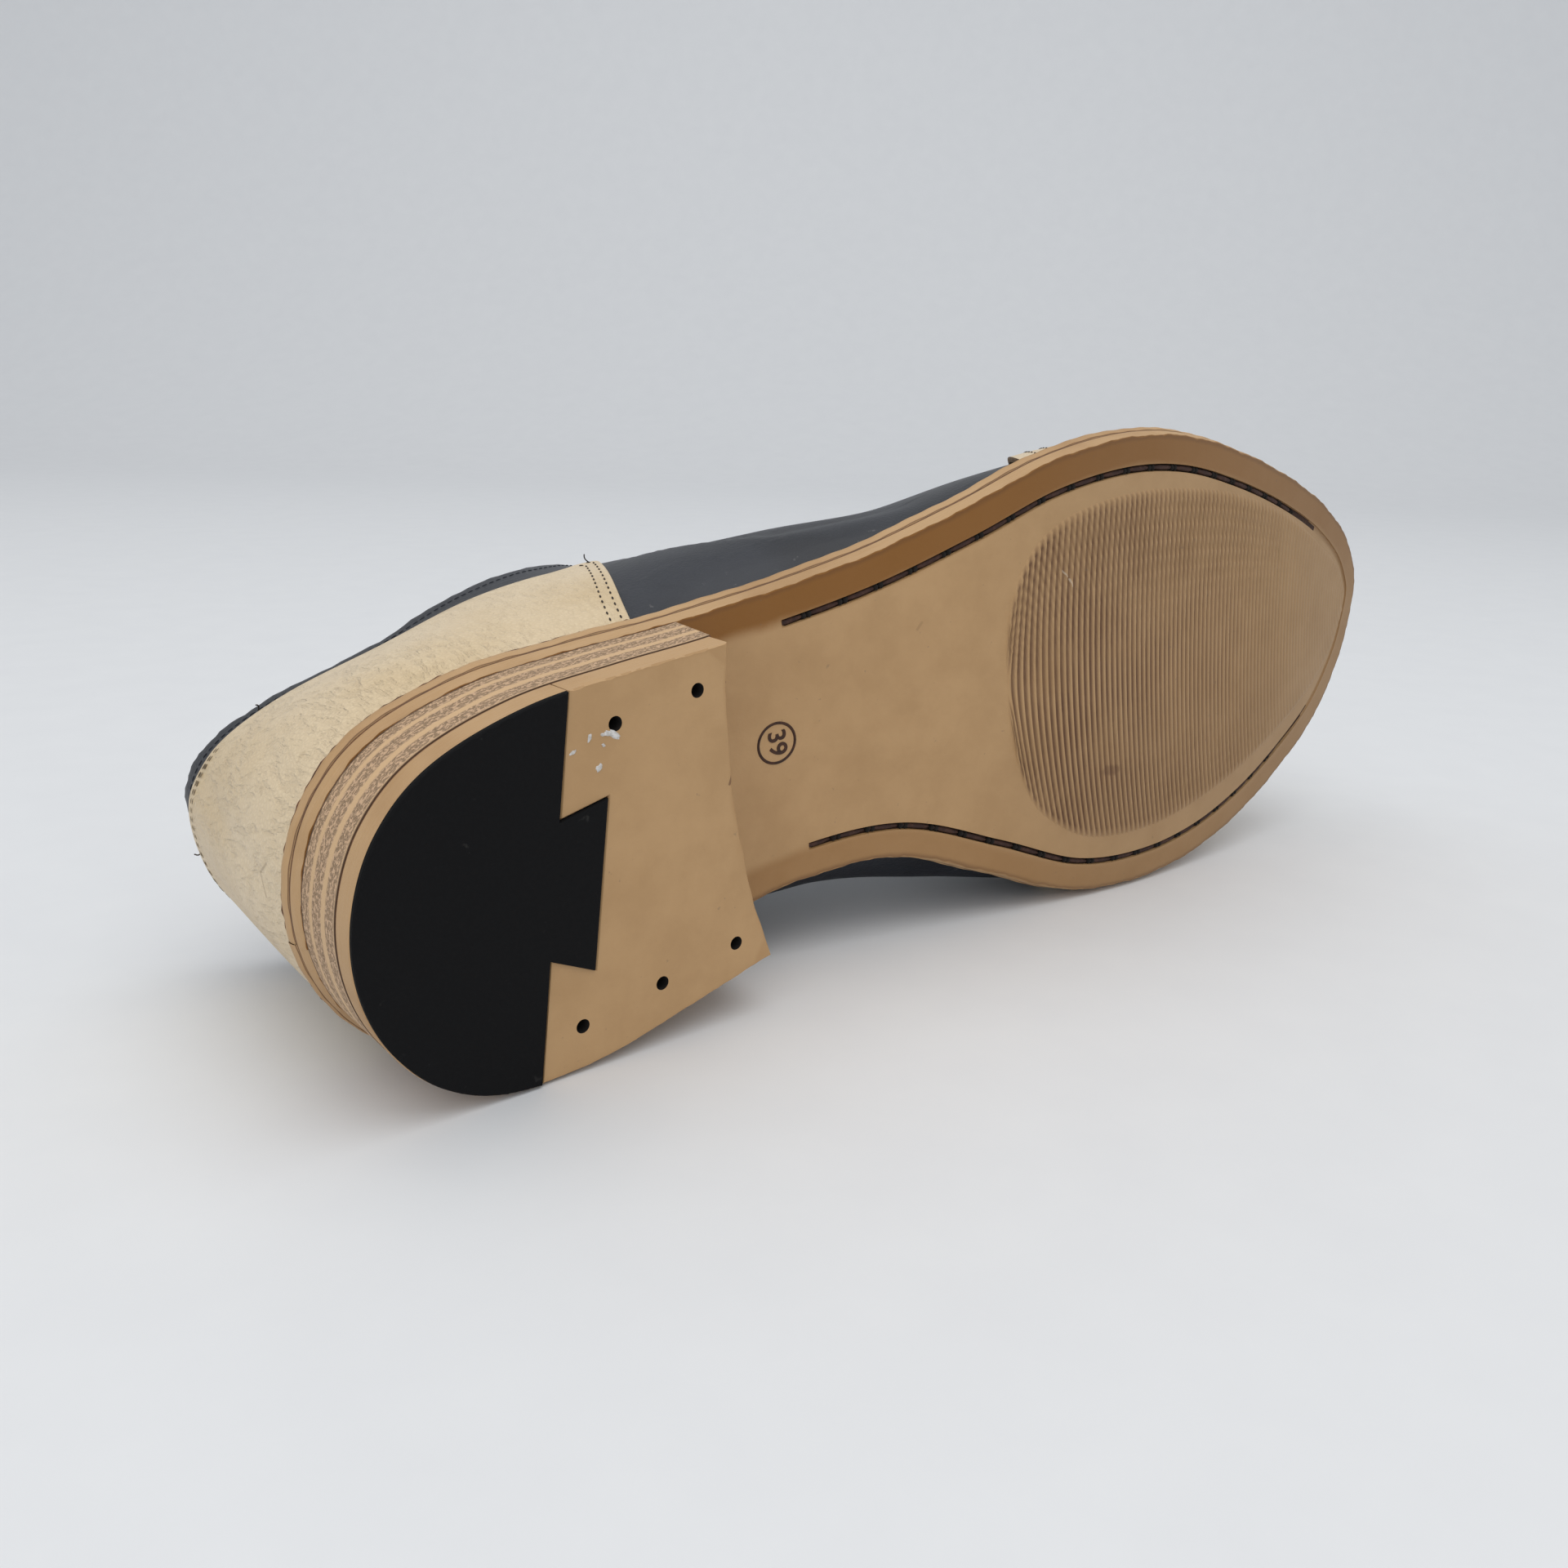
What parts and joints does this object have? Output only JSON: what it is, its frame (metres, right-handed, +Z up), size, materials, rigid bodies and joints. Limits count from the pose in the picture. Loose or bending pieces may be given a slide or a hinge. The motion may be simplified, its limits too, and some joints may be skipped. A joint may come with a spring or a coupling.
{
  "type": "oxford shoe, right foot",
  "caption": "Right-foot leather oxford in navy and cream, lying on its inner side, with a leather sole, stitched groove, ribbed forepart and stacked heel.",
  "frame": {"origin": "middle of the bounding box, on the floor that the shoe lies on", "axes": "+X from heel to toe, +Y from the sole towards the collar, +Z up from the floor, away from the inner side of the foot"},
  "size_m": [0.272, 0.0872, 0.0981],
  "materials": {
    "cream_leather": "fine-grained, soft sheen",
    "navy_leather": "smooth, polished",
    "sole_leather": "matt, burnished darker at the edge",
    "welt_leather": "matt, burnished",
    "stack_leather": "matt, layered",
    "lining_leather": "matt",
    "heel_rubber": "matt",
    "eyelet_metal": "dark, satin",
    "lace_cotton": "matt, waxed cotton"
  },
  "bodies": {
    "root": {"heel_rubber": "heel_rubber", "top_lift": "sole_leather", "heel_stack": "stack_leather", "outsole": "sole_leather", "midsole": "welt_leather", "insole": "lining_leather", "upper": "navy_leather", "heel_counter": "cream_leather", "toe_cap": "cream_leather", "tongue": "navy_leather", "facing_lateral": "navy_leather", "facing_medial": "navy_leather", "eyelet_lateral_1": "eyelet_metal", "eyelet_lateral_2": "eyelet_metal", "eyelet_lateral_3": "eyelet_metal", "eyelet_lateral_4": "eyelet_metal", "eyelet_lateral_5": "eyelet_metal", "eyelet_medial_1": "eyelet_metal", "eyelet_medial_2": "eyelet_metal", "eyelet_medial_3": "eyelet_metal", "eyelet_medial_4": "eyelet_metal", "eyelet_medial_5": "eyelet_metal", "lace_bar_1": "lace_cotton", "lace_bar_2": "lace_cotton", "lace_bar_3": "lace_cotton", "lace_bar_4": "lace_cotton", "lace_bar_5": "lace_cotton"}
  },
  "joints": []
}
